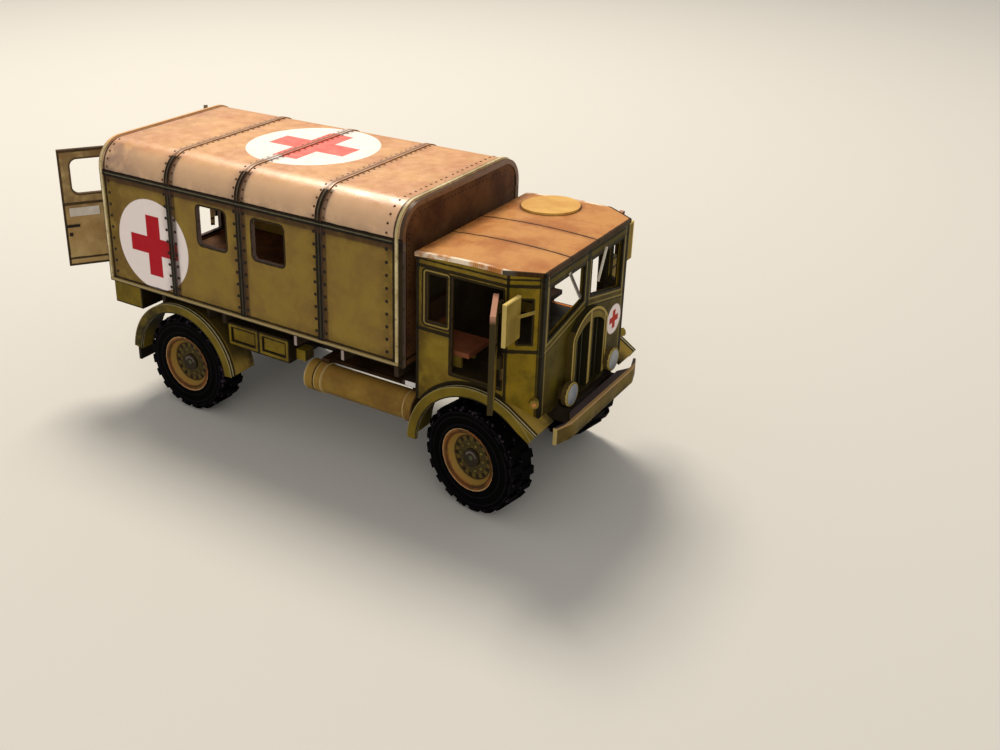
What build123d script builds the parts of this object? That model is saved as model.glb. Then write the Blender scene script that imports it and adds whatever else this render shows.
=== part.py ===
from build123d import *
import os
from math import asin, cos, degrees, radians, sin

# A hand-built card model, about 1:100, of a four-wheeled military ambulance truck.
# Millimetres. Modelled with x forward from mid-wheelbase, y to the truck's left and z up
# from the ground, then moved so that its origin is the middle of its box's base.
# Right-hand pieces are modelled and the left-hand ones are their mirror images.

# Card, paper and fits
card = 0.5  # walls, floors and doors
thin_card = 0.35  # fender lips, mirrors
roof_card = 0.4
paper = 0.12  # strips glued on the body
bead = 0.15  # how far the edge beading stands proud
door_gap = 0.15  # round each door leaf
pin_gap = 0.04  # between a wheel's bore and its pin

# Wheels and axles
wheelbase = 37.2
tyre_radius = 5.63
tread_depth = 0.32
tyre_width = 3.3
tyre_bevel = 0.38
wheel_face = 10.84  # tyre's outer face, from the centreline
lugs_per_row = 20
lug_length = 0.86  # round the tyre
rim_radius, ring_width = 3.3, 0.45
rim_sides = 24
rim_set_in = 0.15  # behind the tyre's faces
dish_radius, dish_y, hub_radius, hub_length = 2.3, 0.75, 0.95, 0.3
pin_radius = 0.6
pin_depth = 0.5  # bore's end past the wheel's middle plane
casing_radius = 0.85
casing_sides = 8
bulge_radius = 1.75
bulge_half = 2.2
backplate_radius = 1.9
backplate_card = 0.4
backplate_gap = 0.24  # to the tyre's inner face
front_steer = -10  # degrees, as the model stands, each wheel about its own middle

# Chassis
rail_outer = 4.7
rail_flange = 0.9
rail_card = 0.4
rail_low, rail_top = 9.2, 11.5
rail_rear, rail_front = -25.2, 26.2
cross_member_x = (rail_rear + 0.6, -14.0, -4.0, 6.0, 14.2, rail_front - 1.0)
cross_half, cross_top = 0.5, 10.7
horn_top = 10.8  # where the rails run out ahead of the nose
bearer_x = (-21.9, -15.2, -12.9, -3.0, 3.1, 9.7)
bearer_set_in = 0.7  # from the body's side
bearer_end_low = 11.9  # the ends are shallower than the middles
stub_length, stub_ahead, stub_set_in, stub_z = 1.55, 0.8, 1.0, (11.15, 11.65)  # ahead of the body's front
cab_bearer_x = (14.2, 22.5)
cab_bearer_half_width = 6.9
spring_span = 5.0  # axle to shackle
spring_width = 1.0
leaf = 0.32
leaf_ends = (1.7, 3.1)  # half lengths of the third and second leaf
leaf_slope, shackle_width, spring_seat_z, seat_half = 0.2, 0.6, 0.95, 0.9

# Load body
body_half = 10.9
body_rear, body_front = -29.5, 10.95
body_low = 13.4
cantrail = 26.3  # where side and roof sheets meet
shoulder_z = 26.7  # where the roof's shoulders start to turn in
shoulder_radius = 3.0
front_wall_set_back = 0.1
window_z = (20.7, 25.05)
window_x = ((-15.15, -11.2), (-7.6, -3.45))
window_corner = 0.5
band_x = (-19.15, -9.3, 1.05)
band_half, strip_half = 0.35, 0.25
bead_width = 0.3
bead_front, bead_rear = body_front - 0.8, body_rear + 0.25
bead_low = body_low + 0.15

# Rear doors
doorway_half, doorway_sill, doorway_header = 7.15, 1.05, 1.3
doorway_low = body_low + doorway_sill
doorway_top = shoulder_z + shoulder_radius - doorway_header
rear_window_s = (1.3, 5.8)  # from the hinge edge
rear_window_drop, rear_window_height = 1.3, 4.0
rear_window_z = (doorway_top - rear_window_drop - rear_window_height, doorway_top - rear_window_drop)
rear_window_corner = 0.8
rear_hinge_z = (17.0, 26.0)
rear_right_open, rear_left_open = 144, 137

# Hinges
knuckle_sides = 8
knuckle_radius, knuckle_length, knuckle_gap = 0.25, 1.1, 0.05
knuckle_leaf = 0.3
wire_radius = 0.1

# Cab
cab_narrower = 0.38  # than the load body, each side
cab_half = body_half - cab_narrower
cab_rear, cab_corner, cab_nose = 12.22, 21.81, 24.76
nose_half = 8.84
cab_low, nose_low = 10.5, 11.0
roof_rear_z, roof_mid_z, roof_front_z = 25.2, 25.6, 25.3  # underside
roof_overhang = 0.12
cab_floor_z = 14.2  # top face
door_x = (16.1, 21.5)
door_z = (14.2, 24.0)
cab_window_x, cab_window_z = (13.4, 15.55), (19.0, 23.8)
leaf_window_x, leaf_window_z = (17.0, 20.7), (19.2, 23.2)
quarter_window, quarter_z = (1.15, 2.35), (18.9, 23.2)  # along the corner panel
screen_inner, screen_outer, screen_top = 0.75, 7.7, 24.0
screen_low_inner, screen_low_outer = 20.4, 18.9
cab_hinge_z = (16.4, 22.0)
cab_right_open, cab_left_open = 117, 88
hatch_radius, hatch_card, hatch_margin = 3.0, 0.22, 0.22
hatch_place = (16.7, cab_half - hatch_radius - hatch_margin)
seat_behind, seat_beside, seat_length, seat_width, seat_z = 1.08, 1.02, 4.2, 4.0, 16.2
seat_x = (cab_rear + seat_behind, cab_rear + seat_behind + seat_length)
seat_y = (cab_half - seat_beside - seat_width, cab_half - seat_beside)
seat_back_z = 20.4
back_inset, hinge_strip_inset, bracket_inset = 0.1, 0.9, 0.6  # from the cushion's edges

# Nose
surround_half, surround_low, surround_spring, surround_top = 3.75, 10.9, 17.4, 19.4
surround_depth, surround_corner = 0.64, 1.2
slot_inner, slot_outer, slot_low, slot_top = 0.3, 3.0, 11.3, 18.3
slot_spring_drop = 0.3
slot_bars = 2
bar_width, bar_depth = 0.18, 0.3
lamp_y, lamp_z, lamp_radius, lamp_depth = 4.55, 12.35, 1.2, 0.5
lens_inset, lens_card = 0.16, 0.15
lamp_bracket_half = (0.5, 0.6)
bumper_face, bumper_flat_half = 27.25, 6.9
bumper_end_x, bumper_half = 26.65, 8.87
bumper_z, bumper_card = (9.1, 10.85), 0.3
shelf_half, shelf_slant = 5.2, 1.3  # flat top between bumper and radiator
mirror_x, mirror_z, mirror_gap, mirror_width = 23.0, (19.9, 24.0), 0.08, 2.7
mirror_y = (cab_half + mirror_gap, cab_half + mirror_gap + mirror_width)
arm_card, arm_grip = 0.3, 0.4
# Wipers: top and bottom ends across the front, left one last
wiper_width, wiper_card = 0.3, 0.15
wiper_ends = (((-4.2, 24.3), (-1.7, 21.0)), ((3.5, 24.5), (2.05, 21.4)))
side_lamp_place, side_lamp_radius, side_lamp_length = (2.9, 13.1), 0.45, 0.7
side_lamp_sides = 8

# Fenders: arch centre x and z, outer radius, angle where its straight tail starts,
# tail length, and height of its rear foot
fender_inner, fender_outer = 7.4, 11.2
fender_card = 0.4
fender_lip = 1.05
flap_y, flap_low = (8.4, 10.7), 4.15  # behind each rear wheel
arches = {
    "front": (wheelbase / 2 + 0.4, 6.3, 7.35, 56.0, 3.05, 6.3),
    "rear": (-wheelbase / 2 - 0.3, 5.35, 7.45, 5.8, 0.0, 6.1),
}

# Hung under the body
locker_x, locker_split, locker_z = (-12.65, -4.1), -8.3, (9.4, 12.1)
locker_set_in = 0.9  # from the body's side
locker_face = body_half - locker_set_in
locker_panel_rim, locker_panel_card = 0.57, 0.15
end_box_length, end_box_y, end_box_z = 1.35, (7.6, 9.0), (9.6, 10.8)  # on each locker's front end
tank_x, tank_z, tank_radius, tank_set_in = (-2.15, 11.4), 8.23, 1.55, 2.4
tank_y = body_half - tank_set_in
tank_cap = 1.1
strap_x, strap_width, strap_card = -0.9, 0.9, 0.12
tray_set_in = 1.0  # from the tank's middle
step_height, step_set_in = 2.8, 0.5
step_x, step_z = (body_rear, rail_rear), (body_low - step_height, body_low)
step_half = body_half - step_set_in

side_view = Plane(origin=(0, 0, 0), x_dir=(1, 0, 0), z_dir=(0, -1, 0))
wheel_plane = Plane.XZ  # faces the outside of a right-hand wheel
wheel_middle = wheel_face - tyre_width / 2
nose_slope = (cab_half - nose_half) / (cab_nose - cab_corner)


def outline(*points):
    """A flat face from its corners."""
    return make_face(Polyline(*points, close=True))


def pane_square(first, second):
    """A square-cornered rectangle between two ranges."""
    return Pos(sum(first) / 2, sum(second) / 2) * Rectangle(first[1] - first[0], second[1] - second[0])


def pane(first, second, corner):
    """A rounded rectangle between two ranges."""
    place = Pos(sum(first) / 2, sum(second) / 2)
    return place * RectangleRounded(first[1] - first[0], second[1] - second[0], corner)


def block(x, y, z):
    """A plain block between three ranges."""
    size = Box(x[1] - x[0], y[1] - y[0], z[1] - z[0])
    return Pos(sum(x) / 2, sum(y) / 2, sum(z) / 2) * size


def right_sheet(face, outer, thick):
    """A side-view outline as a sheet on the right, its outer face at y = -outer."""
    return extrude(side_view.offset(outer - thick) * face, amount=thick)


def cross_sheet(face, x, thick):
    """A front-view outline as a sheet from x forwards."""
    return extrude(Plane.YZ.offset(x) * face, amount=thick)


def flat_sheet(face, z, thick):
    """A plan outline as a sheet from z upwards."""
    return extrude(Plane.XY.offset(z) * face, amount=thick)


def left(piece):
    return mirror(piece, about=Plane.XZ)


def pair(piece):
    """A right-hand piece and its mirror image, as separate solids of one node."""
    return Compound(piece.solids() + left(piece).solids())


def body_section(grow, low):
    """The load body's cross-section: upright sides, round shoulders and a flat top."""
    half, radius = body_half + grow, shoulder_radius + grow
    turn, top = half - radius, shoulder_z + radius
    lean = radius * sin(radians(45))
    line = Line((-half, low), (-half, shoulder_z))
    line += ThreePointArc((-half, shoulder_z), (-turn - lean, shoulder_z + lean), (-turn, top))
    line += Line((-turn, top), (turn, top))
    line += ThreePointArc((turn, top), (turn + lean, shoulder_z + lean), (half, shoulder_z))
    line += Polyline((half, shoulder_z), (half, low), (-half, low))
    return make_face(line)


def arch_points(spec, radius):
    """Where a fender's curve starts, is steepest, leaves the arc and ends."""
    x, z, full, leave, tail, foot = spec
    start = 180 - degrees(asin((foot - z) / full))
    place = [(x + radius * cos(radians(a)), z + radius * sin(radians(a)))
             for a in (start, (start + leave) / 2, leave)]
    end = (place[2][0] + tail * sin(radians(leave)), place[2][1] - tail * cos(radians(leave)))
    return place + [end]


def arch_band(spec, depth):
    """The side view of a fender's bent strip, or of its lip, of a given depth."""
    out = arch_points(spec, spec[2])
    inn = arch_points(spec, spec[2] - depth)
    line = ThreePointArc(*out[:3]) + ThreePointArc(*inn[:3])
    line += Line(out[0], inn[0])
    if spec[4]:
        line += Polyline(out[2], out[3], inn[3], inn[2])
    else:
        line += Line(out[2], inn[2])
    return make_face(line)


def arch_room(spec):
    """All that lies under a fender's outer curve, down past the wheel's middle."""
    out = arch_points(spec, spec[2])
    low = spec[5] - 1
    line = ThreePointArc(*out[:3]) + Polyline(
        *out[2:4] if spec[4] else out[2:3], (out[3][0], low), (out[0][0], low), out[0])
    return make_face(line)


def under_arch(name):
    """The space under a right-hand fender, for cutting what stands on it."""
    return right_sheet(arch_room(arches[name]), fender_outer + card, fender_outer - fender_inner + 2 * card)


def toothed(radius, turn):
    """A ring of lugs in outline: flat-topped teeth with straight valleys between them."""
    half_lug = degrees(lug_length / tyre_radius) / 2
    corners = []
    for step in range(lugs_per_row):
        middle = turn + 360 / lugs_per_row * step
        corners += [(radius - tread_depth, middle - half_lug), (radius, middle - half_lug),
                    (radius, middle + half_lug), (radius - tread_depth, middle + half_lug)]
    return outline(*[(r * cos(radians(a)), r * sin(radians(a))) for r, a in corners])


def tyre():
    """Two toothed rings of card, half a pitch apart, the outer one bevelled.

    Modelled with its outer side at -y."""
    half = tyre_width / 2
    turn = 180 / lugs_per_row
    shoulder = wheel_plane.offset(half - tyre_bevel) * toothed(tyre_radius, turn)
    edge = wheel_plane.offset(half) * toothed(tyre_radius - tyre_bevel, turn)
    solid = extrude(wheel_plane * toothed(tyre_radius, 0), amount=-half)
    solid += extrude(wheel_plane * toothed(tyre_radius, turn), amount=half - tyre_bevel)
    solid += loft([shoulder.face(), edge.face()], ruled=True)
    bore = wheel_plane * RegularPolygon(rim_radius, rim_sides)
    return solid - extrude(bore, amount=tyre_width, both=True)


def rim():
    """Laminated card disc: a raised ring, a dished middle and a hub, bored from behind."""
    face = tyre_width / 2 - rim_set_in
    rings = ((hub_radius, dish_y + hub_length), (hub_radius, dish_y), (dish_radius, dish_y),
             (rim_radius - ring_width, face), (rim_radius, face), (rim_radius, -face))
    sections = [wheel_plane.offset(y) * RegularPolygon(radius, rim_sides) for radius, y in rings]
    solid = loft([section.face() for section in sections], ruled=True)
    return solid - extrude(wheel_plane.offset(pin_depth) * Circle(pin_radius + pin_gap), amount=-tyre_width)


def at_wheel(hand, steer):
    """A turn about the upright line through the middle of one wheel of an axle."""
    place = Pos(0, hand * wheel_middle, 0)
    return place * Rot(0, 0, steer) * place.inverse()


def axle(steer):
    """Folded eight-sided casing with its middle bulge, backplates and wheel pins."""
    plate = wheel_face - tyre_width - backplate_gap
    end = wheel_middle + pin_depth - 2 * pin_gap

    def section(radius, place):
        return wheel_plane.offset(place) * RegularPolygon(radius, casing_sides, rotation=180 / casing_sides)

    casing_end = plate - backplate_card / 2
    solid = extrude(section(casing_radius, -casing_end), amount=2 * casing_end)
    for hand in (-1, 1):
        bulge = (section(bulge_radius, 0), section(casing_radius, hand * bulge_half))
        solid += loft([face.face() for face in bulge], ruled=True)
        backplate = extrude(section(backplate_radius, hand * plate), amount=-hand * backplate_card)
        pin = extrude(wheel_plane.offset(hand * plate) * Circle(pin_radius), amount=hand * (end - plate))
        solid += at_wheel(-hand, steer) * (backplate + pin)
    return solid


def spring(casing):
    """A stepped pack of leaves hung from shackles and seated on the axle casing."""
    rise = rail_low - tyre_radius
    tip = spring_span - shackle_width

    def level(x, leaves):
        return spring_seat_z + leaves * leaf + leaf_slope * x

    third, second = leaf_ends
    half = [(seat_half, 0), (seat_half, level(seat_half, 0)), (third, level(third, 0)),
            (third, level(third, 1)), (second, level(second, 1)), (second, level(second, 2)),
            (tip, level(tip, 2)), (spring_span, level(tip, 2)), (spring_span, rise), (tip, rise),
            (tip, level(tip, 3))]
    pack = outline(*half, (0, level(0, 3)), *[(-x, z) for x, z in reversed(half)])
    middle = rail_outer - rail_flange / 2
    return extrude(side_view.offset(middle - spring_width / 2) * pack, amount=spring_width) - casing


pieces = {}

# Axles, wheels and springs
tyre_solid, rim_solid = tyre(), rim()
for name, x, steer in (("front", wheelbase / 2, front_steer), ("rear", -wheelbase / 2, 0)):
    hub = Pos(x, 0, tyre_radius)
    axle_solid = axle(steer)
    pieces[name + "_axle"] = hub * axle_solid
    pieces[name + "_springs"] = pair(hub * spring(axle_solid))
    for node, solid in (("tyre", tyre_solid), ("rim", rim_solid)):
        straight = Pos(0, -wheel_middle, 0) * solid
        pieces[f"{node}_{name}_right"] = hub * at_wheel(-1, steer) * straight
        pieces[f"{node}_{name}_left"] = hub * at_wheel(1, steer) * left(straight)

# Chassis: two channel rails with cross members, and card bearers on top
channel = outline(
    (-rail_outer, rail_low), (-rail_outer, rail_top), (-rail_outer + rail_flange, rail_top),
    (-rail_outer + rail_flange, rail_top - rail_card), (-rail_outer + rail_card, rail_top - rail_card),
    (-rail_outer + rail_card, rail_low + rail_card), (-rail_outer + rail_flange, rail_low + rail_card),
    (-rail_outer + rail_flange, rail_low))
rail = cross_sheet(channel, rail_rear, rail_front - rail_rear)
inner = rail_outer - rail_card
members = [block((x - cross_half, x + cross_half), (-inner, inner), (rail_low + rail_card, cross_top))
           for x in cross_member_x]
frame = rail.fuse(left(rail), *members)
horn_room = block((cab_nose, rail_front), (-rail_outer, rail_outer), (horn_top, rail_top))
pieces["chassis_frame"] = frame - horn_room
rail_room = block((rail_rear, rail_front), (-rail_outer, rail_outer), (rail_low, rail_top))

rear_arch, front_arch = under_arch("rear"), under_arch("front")
bearer_end = body_half - bearer_set_in
bearer_face = outline((-bearer_end, body_low), (-bearer_end, bearer_end_low), (-rail_outer, rail_top),
                      (rail_outer, rail_top), (bearer_end, bearer_end_low), (bearer_end, body_low))
stub_front = body_front + stub_ahead
stub = block((stub_front - stub_length, stub_front), (-body_half + stub_set_in, -rail_outer), stub_z)
bearers = pair(stub).solids()
for x in bearer_x:
    plate = cross_sheet(bearer_face, x - card / 2, card)
    bearers += (plate - rear_arch - left(rear_arch)).solids()
for x in cab_bearer_x:
    bearers += block((x - card / 2, x + card / 2), (-cab_bearer_half_width, cab_bearer_half_width),
                     (rail_top, cab_floor_z - card)).solids()
pieces["bearers"] = Compound(bearers)

# Fenders: a bent strip with a flat lip along its outer edge, the rear ones with a mud flap
for name, spec in arches.items():
    strip = right_sheet(arch_band(spec, fender_card), fender_outer, fender_outer - fender_inner)
    lip = right_sheet(arch_band(spec, fender_lip), fender_outer, thin_card)
    fender = strip + lip
    if name == "rear":
        foot_x, foot_z = arch_points(spec, spec[2])[0]
        flap_z = (flap_low, foot_z + thin_card)
        fender += block((foot_x, foot_x + thin_card), (-flap_y[1], -flap_y[0]), flap_z)
    pieces[name + "_fender_right"] = fender
    pieces[name + "_fender_left"] = left(fender)

# Lockers, fuel tank and rear step
locker = block(locker_x, (-locker_face, -rail_outer), locker_z)
for span in ((locker_x[0], locker_split), (locker_split, locker_x[1])):
    middle = (span[0] + locker_panel_rim, span[1] - locker_panel_rim)
    heights = (locker_z[0] + locker_panel_rim, locker_z[1] - locker_panel_rim)
    locker -= block(middle, (-locker_face, -locker_face + locker_panel_card), heights)
locker += block((locker_x[1], locker_x[1] + end_box_length), (-end_box_y[1], -end_box_y[0]), end_box_z)
pieces["lockers"] = pair(locker)

outer = tank_radius + strap_card
caps = (tank_x[0] + tank_cap, tank_x[1] - tank_cap)
tank_line = [
    (tank_x[0], 0), (tank_x[0], outer), (caps[0], outer), (caps[0], tank_radius), (strap_x, tank_radius),
    (strap_x, outer), (strap_x + strap_width, outer), (strap_x + strap_width, tank_radius),
    (caps[1], tank_radius), (caps[1], outer), (tank_x[1], outer), (tank_x[1], 0)]
tank_place = Pos(0, -tank_y, tank_z)
pieces["fuel_tank"] = tank_place * revolve(outline(*tank_line), Axis.X)

# The tank hangs on two arms from the rail, with a card tray between them
arm_low = rail_low + rail_card
arm_places = (strap_x, tank_x[1] - strap_width)
tray_end = -tank_y + tray_set_in
arms = block((strap_x, tank_x[1]), (tray_end, -rail_outer), (arm_low, arm_low + thin_card))
for x in arm_places:
    arms += block((x, x + strap_width), (-tank_y, -rail_outer), (arm_low, arm_low + 2 * rail_card))
pieces["tank_arms"] = arms - tank_place * Rot(0, 90, 0) * Cylinder(outer, 2 * tank_x[1])
pieces["rear_step"] = block(step_x, (-step_half, step_half), step_z)

# Load body: floor, sides, roof, end walls, then beading and strips on the outside
inner_half = body_half - card
wall_front = body_front - front_wall_set_back - card
inside = body_section(-card, body_low)
floor_x = (body_rear + card, wall_front)
pieces["body_floor"] = block(floor_x, (-inner_half, inner_half), (body_low, body_low + card))
side = outline((body_rear, body_low), (body_front, body_low), (body_front, cantrail), (body_rear, cantrail))
for span in window_x:
    side -= pane(span, window_z, window_corner)
proud, band_z = (-body_half - paper, -body_half), (bead_low + bead_width, cantrail)
strips = [block((bead_rear + bead_width, bead_front), proud, (cantrail - strip_half, cantrail))]
strips += [block((x - band_half, x + band_half), proud, band_z) for x in band_x]
pieces["body_side_right"] = right_sheet(side, body_half, card).fuse(*strips)
pieces["body_side_left"] = left(pieces["body_side_right"])
roof = body_section(0, cantrail) - body_section(-card, cantrail)
roof = cross_sheet(roof, body_rear, body_front - body_rear)
hoop = body_section(paper, cantrail) - body_section(0, cantrail)
strip = strips[0].moved(Pos(0, 0, strip_half))
bands = [cross_sheet(hoop, x - band_half, 2 * band_half) for x in band_x]
pieces["body_roof"] = roof.fuse(strip, left(strip), *bands)
pieces["body_front_wall"] = cross_sheet(inside, wall_front, card)
doorway = outline((-doorway_half, doorway_low), (doorway_half, doorway_low), (doorway_half, doorway_top),
                  (-doorway_half, doorway_top))
frame = cross_sheet(inside - doorway, body_rear, card)

hoop = body_section(bead, bead_low) - body_section(0, bead_low)
beading = cross_sheet(hoop, bead_front, bead_width) + cross_sheet(hoop, bead_rear, bead_width)
low_strip = block((bead_rear, bead_front + bead_width), (-body_half - bead, -body_half),
                  (bead_low, bead_low + bead_width))
pieces["body_beading"] = beading + low_strip + left(low_strip)


def knuckles(place, turn, levels):
    """Folded eight-sided hinge knuckles: a frame one, whose wire stands in a door one.

    Before turning, the axis is the origin, the wall's face is below it in plan, the
    frame is on the left and the door on the right. Returns frame and door knuckles."""
    roll = RegularPolygon(knuckle_radius, knuckle_sides, rotation=180 / knuckle_sides)
    bore = RegularPolygon(wire_radius + pin_gap, knuckle_sides, major_radius=False)
    frame_leaf = pane_square((-knuckle_leaf, 0), (-knuckle_radius, 0))
    door_leaf = pane_square((0, door_gap + knuckle_leaf), (-knuckle_radius, 0))
    fixed, swung = [], []
    for level in levels:
        spot = Pos(*place, level) * Rot(0, 0, turn)
        low = extrude(roll + frame_leaf, amount=-knuckle_length)
        wire = extrude(RegularPolygon(wire_radius, knuckle_sides), amount=knuckle_length)
        high = extrude(roll + door_leaf - bore, amount=knuckle_length)
        fixed.append(spot * (low + wire))
        swung.append(spot * Pos(0, 0, knuckle_gap) * high)
    return fixed, swung


# Rear doors, modelled shut and then swung out
leaf_y = (-doorway_half + door_gap, -door_gap / 2)
leaf_z = (doorway_low + door_gap, doorway_top - door_gap)
rear_leaf = pane_square(leaf_y, leaf_z) - pane(
    (-doorway_half + rear_window_s[0], -doorway_half + rear_window_s[1]), rear_window_z, rear_window_corner)
hinge_x = body_rear - knuckle_radius
fixed, swung = knuckles((hinge_x, -doorway_half), 90, rear_hinge_z)
rear_right = cross_sheet(rear_leaf, body_rear, card).fuse(*swung)
pieces["body_rear_frame"] = frame.fuse(*fixed, *[left(knuckle) for knuckle in fixed])
rear_axis = Axis((hinge_x, -doorway_half, 0), (0, 0, 1))
pieces["rear_door_right"] = rear_right.rotate(rear_axis, rear_right_open)
pieces["rear_door_left"] = left(rear_right.rotate(rear_axis, rear_left_open))

# Cab shell: a ring of wall in plan, topped by the roof's curve, then split at the corners
plan = outline((cab_rear, -cab_half), (cab_corner, -cab_half), (cab_nose, -nose_half),
               (cab_nose, nose_half), (cab_corner, cab_half), (cab_rear, cab_half))
plan_inside = offset(plan, -card, kind=Kind.INTERSECTION)
roof_ends = ((cab_rear - 1, roof_rear_z), ((cab_rear + cab_nose) / 2, roof_mid_z),
             (cab_nose + 1, roof_front_z))


def under_curve(lift, low):
    """A slab across the cab with the roof's curve as its top."""
    points = [(x, z + lift) for x, z in roof_ends]
    line = ThreePointArc(*points)
    line += Polyline(points[2], (points[2][0], low), (points[0][0], low), points[0])
    return extrude(side_view.offset(-2 * cab_half) * make_face(line), amount=4 * cab_half)


walls = flat_sheet(plan - plan_inside, cab_low, roof_mid_z - cab_low) & under_curve(0, cab_low - 1)
walls = walls - front_arch - left(front_arch) - rail_room
half_plan = 2 * cab_half
rear_room = block((cab_rear, cab_rear + card), (-cab_half + card, cab_half - card), (cab_low, roof_mid_z))
rear_wall = walls & rear_room
sides = (walls & block((cab_rear, cab_corner), (-half_plan, 0), (cab_low, roof_mid_z))) - rear_room
nose = walls & block((cab_corner, cab_nose), (-half_plan, half_plan), (nose_low, roof_mid_z))

doorway_side = right_sheet(pane_square(door_x, door_z), cab_half, card)
cab_window = right_sheet(pane_square(cab_window_x, cab_window_z), cab_half, card)
fixed, swung = knuckles((door_x[1], -cab_half - knuckle_radius), 180, cab_hinge_z)
cab_side = (sides - doorway_side - cab_window).fuse(*fixed)
pieces["cab_side_right"] = cab_side
pieces["cab_side_left"] = left(cab_side)
pieces["cab_rear_wall"] = rear_wall

screen = outline((screen_inner, screen_low_inner), (screen_outer, screen_low_outer),
                 (screen_outer, screen_top), (screen_inner, screen_top))
screen_cut = cross_sheet(screen, cab_nose - 2 * card, 3 * card)
corner_panel = Plane(origin=(cab_corner, -cab_half, 0), x_dir=(1, nose_slope, 0), z_dir=(nose_slope, -1, 0))
quarter_cut = corner_panel.offset(-2 * card) * pane_square(quarter_window, quarter_z)
quarter_cut = extrude(quarter_cut, amount=3 * card)
pieces["cab_front"] = nose - screen_cut - left(screen_cut) - quarter_cut - left(quarter_cut)

pieces["cab_floor"] = flat_sheet(plan_inside, cab_floor_z - card, card)
roof_plan = flat_sheet(offset(plan, roof_overhang, kind=Kind.INTERSECTION), cab_low, half_plan)
roof_slab = under_curve(roof_card, cab_low) - under_curve(0, cab_low)
pieces["cab_roof"] = roof_slab & roof_plan
hatch_column = Pos(*hatch_place, roof_mid_z) * Cylinder(hatch_radius, half_plan)
hatch_layer = under_curve(roof_card + hatch_card, cab_low) - under_curve(roof_card, cab_low)
pieces["roof_hatch"] = hatch_column & hatch_layer

# Cab doors, modelled shut and then swung out
leaf_x, leaf_z = [(low + door_gap, high - door_gap) for low, high in (door_x, door_z)]
cab_leaf = pane_square(leaf_x, leaf_z) - pane_square(leaf_window_x, leaf_window_z)
cab_leaf = right_sheet(cab_leaf, cab_half, card).fuse(*swung)
cab_axis = Axis((door_x[1], -cab_half - knuckle_radius, 0), (0, 0, 1))
pieces["cab_door_right"] = cab_leaf.rotate(cab_axis, cab_right_open)
pieces["cab_door_left"] = left(cab_leaf.rotate(cab_axis, cab_left_open))

# Seats: a cushion with its back against the rear wall, on a folded bracket


def across_seat(inset):
    return (-seat_y[1] + inset, -seat_y[0] - inset)


wall_face = cab_rear + card
cushion_z, leg_z = (seat_z - card, seat_z), (cab_floor_z, seat_z - card)
cushion = block(seat_x, across_seat(0), cushion_z)
back = block((wall_face, wall_face + card), across_seat(back_inset), (cushion_z[0], seat_back_z))
joining_strip = block((wall_face + card, seat_x[0]), across_seat(hinge_strip_inset), cushion_z)
pieces["seats"] = pair(cushion + back + joining_strip)
legs = block((seat_x[0] + bracket_inset, seat_x[1] - 2 * bracket_inset), across_seat(bracket_inset), leg_z)
hollow = block(seat_x, across_seat(bracket_inset + thin_card), (leg_z[0], leg_z[1] - thin_card))
pieces["seat_brackets"] = pair(legs - hollow)

# Radiator surround: an arched plate with two tall slots and fine bars in them
def arched(half, low, spring_line, top):
    line = ThreePointArc((-half, spring_line), (0, top), (half, spring_line))
    line += Polyline((half, spring_line), (half, low), (-half, low), (-half, spring_line))
    return make_face(line)


plate = arched(surround_half, surround_low, surround_spring, surround_top)
plate = fillet(plate.vertices().group_by(Axis.Y)[-1], surround_corner)
arch_within = arched(slot_outer, slot_low, surround_spring - slot_spring_drop, slot_top)
slots = arch_within - Pos(0, (slot_low + slot_top) / 2) * Rectangle(2 * slot_inner, slot_top)
surround = cross_sheet(plate - slots, cab_nose, surround_depth)
for side_sign in (-1, 1):
    for step in range(1, slot_bars + 1):
        y = side_sign * (slot_inner + (slot_outer - slot_inner) * step / (slot_bars + 1))
        bar = arch_within & Pos(y, (slot_low + slot_top) / 2) * Rectangle(bar_width, slot_top)
        surround += cross_sheet(bar, cab_nose, bar_depth)
pieces["radiator_surround"] = surround

# Headlamps: drums on short brackets, with pale lens discs glued on
lamp_back = cab_nose + surround_depth
drum = cross_sheet(Pos(-lamp_y, lamp_z) * Circle(lamp_radius), lamp_back, lamp_depth)
lens_disc = Pos(-lamp_y, lamp_z) * Circle(lamp_radius - lens_inset)
lens = cross_sheet(lens_disc, lamp_back + lamp_depth, lens_card)
bracket = block((cab_nose, lamp_back), (-lamp_y - lamp_bracket_half[0], -surround_half),
                (lamp_z - lamp_bracket_half[1], lamp_z + lamp_bracket_half[1]))
pieces["headlamps"] = pair(drum + bracket)
pieces["headlamp_lenses"] = pair(lens)

# Bumper: a plate with swept-back ends on a flat shelf ahead of the rails
front_line = [(bumper_end_x, -bumper_half), (bumper_face, -bumper_flat_half),
              (bumper_face, bumper_flat_half), (bumper_end_x, bumper_half)]
back_line = [(x - bumper_card, y) for x, y in reversed(front_line)]
bumper = flat_sheet(outline(*front_line, *back_line), bumper_z[0], bumper_z[1] - bumper_z[0])
shelf = outline((rail_front, -shelf_half), (bumper_face - bumper_card, -shelf_half - shelf_slant),
                (bumper_face - bumper_card, shelf_half + shelf_slant), (rail_front, shelf_half))
pieces["front_bumper"] = bumper + flat_sheet(shelf, bumper_z[0], bumper_z[1] - bumper_z[0])

# Mirrors: card plates on thin arms from the nose's corner posts
plate = block((mirror_x, mirror_x + thin_card), (-mirror_y[1], -mirror_y[0]), mirror_z)
mid_z = sum(mirror_z) / 2
arm_line = [(cab_nose - card, -nose_half), (mirror_x + thin_card, -mirror_y[0] - arm_grip)]
arm_line += [(x, y - arm_card) for x, y in reversed(arm_line)]
arm = flat_sheet(outline(*arm_line), mid_z, arm_card) - flat_sheet(plan, mid_z, arm_card)
pieces["mirrors"] = pair(plate + arm)

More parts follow.
